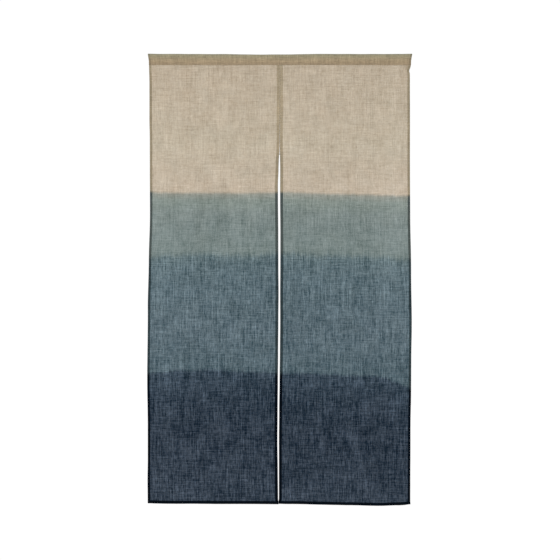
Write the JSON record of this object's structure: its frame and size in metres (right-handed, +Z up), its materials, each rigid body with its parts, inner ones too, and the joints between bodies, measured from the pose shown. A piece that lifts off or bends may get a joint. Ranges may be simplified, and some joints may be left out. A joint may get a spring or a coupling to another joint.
{
  "type": "noren curtain",
  "caption": "Split door curtain: two dip-dyed linen panels, sewn edge to edge at the top and open below, under one folded heading strip with a rod pocket.",
  "frame": {"origin": "middle of the top edge, on the line that the heading hangs from", "axes": "+Z up, front of the curtain towards -Y, +X to the right as seen from the front"},
  "size_m": [0.8826, 0.028, 1.5064],
  "materials": {
    "linen_natural": "undyed slub linen, plain weave, matt, two layers",
    "linen_dipped": "semi-sheer slub linen, dip-dyed in bands from natural through grey green and slate blue to navy, matt"
  },
  "bodies": {
    "root": {"heading": "linen_natural", "panel_left": "linen_dipped", "panel_right": "linen_dipped"}
  },
  "joints": []
}
